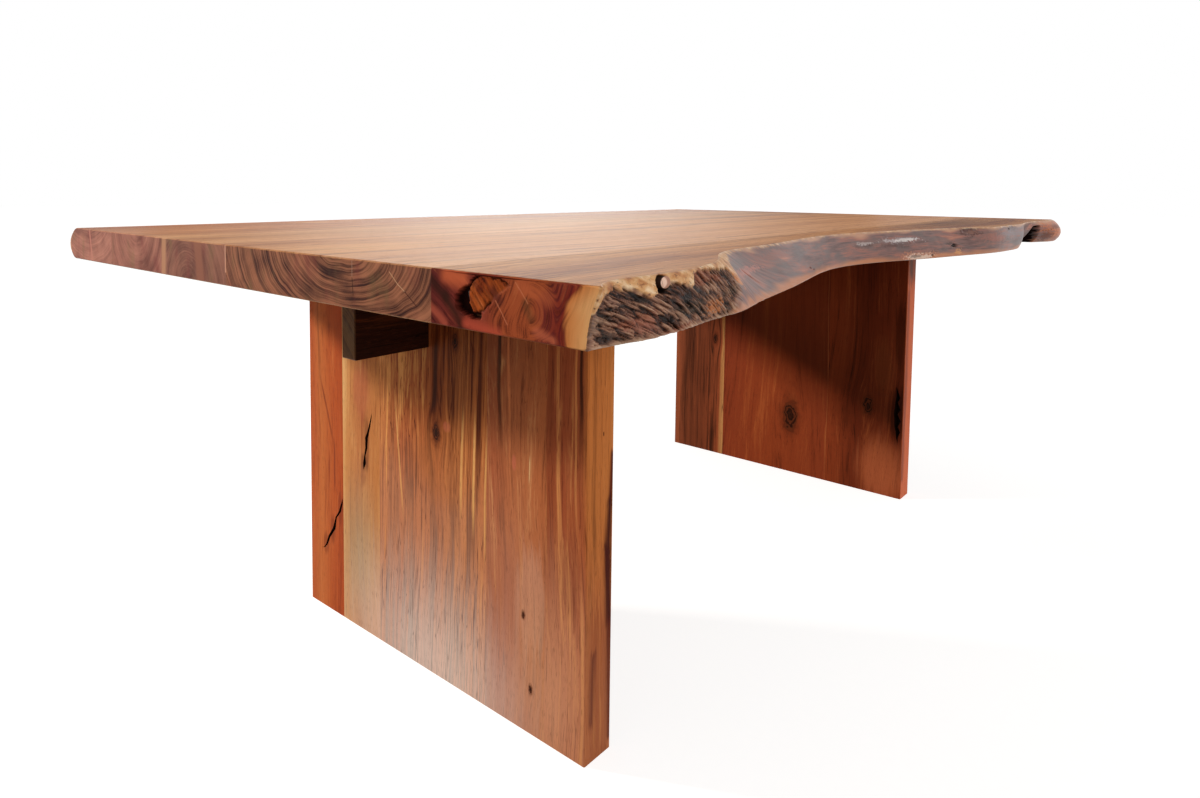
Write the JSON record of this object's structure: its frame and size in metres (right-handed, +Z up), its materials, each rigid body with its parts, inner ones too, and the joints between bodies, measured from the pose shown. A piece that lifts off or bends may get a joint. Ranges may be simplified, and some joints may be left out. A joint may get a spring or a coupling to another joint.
{
  "type": "live edge dining table",
  "caption": "Dining table with a glued-up solid wood slab top, a natural live edge along one side, two flat panel legs and a deep beam on edge under the top.",
  "frame": {"origin": "on the floor, under the middle of the table's outline", "axes": "+X along the top's length and grain, away from the end whose beam end is called near; +Y to the back edge, so the live edge is on the -Y side; +Z up"},
  "size_m": [2.13, 1.2872, 0.76],
  "materials": {
    "top_wood": "satin lacquer over streaky red-brown hardwood",
    "live_edge_wood": "satin lacquer, rough grey-brown natural edge with pale sapwood",
    "near_leg_wood": "satin lacquer over streaky red-brown hardwood",
    "far_leg_wood": "satin lacquer over red-brown hardwood with knots",
    "beam_wood": "dark stained, satin",
    "cleat_wood": "oiled",
    "dowel_wood": "plain beech",
    "stub_wood": "sanded end grain",
    "steel": "zinc plated",
    "brass": "plain"
  },
  "bodies": {
    "root": {"top_board_1": "top_wood", "top_board_2": "top_wood", "top_board_3": "top_wood", "top_board_4": "top_wood", "top_board_5": "live_edge_wood", "top_dowels": "dowel_wood", "edge_stub": "stub_wood", "near_leg_board_1": "near_leg_wood", "near_leg_board_2": "near_leg_wood", "near_leg_board_3": "near_leg_wood", "near_leg_board_4": "near_leg_wood", "near_leg_board_5": "near_leg_wood", "near_leg_dowels": "dowel_wood", "far_leg_board_1": "far_leg_wood", "far_leg_board_2": "far_leg_wood", "far_leg_board_3": "far_leg_wood", "far_leg_dowels": "dowel_wood", "beam": "beam_wood", "beam_dowels": "dowel_wood", "beam_screws": "steel", "beam_washers": "steel", "near_cleat_back": "cleat_wood", "near_cleat_front": "cleat_wood", "far_cleat_back": "cleat_wood", "far_cleat_front": "cleat_wood", "cleat_screws": "steel", "cleat_bolts": "steel", "cleat_washers": "steel", "threaded_inserts": "brass"}
  },
  "joints": []
}
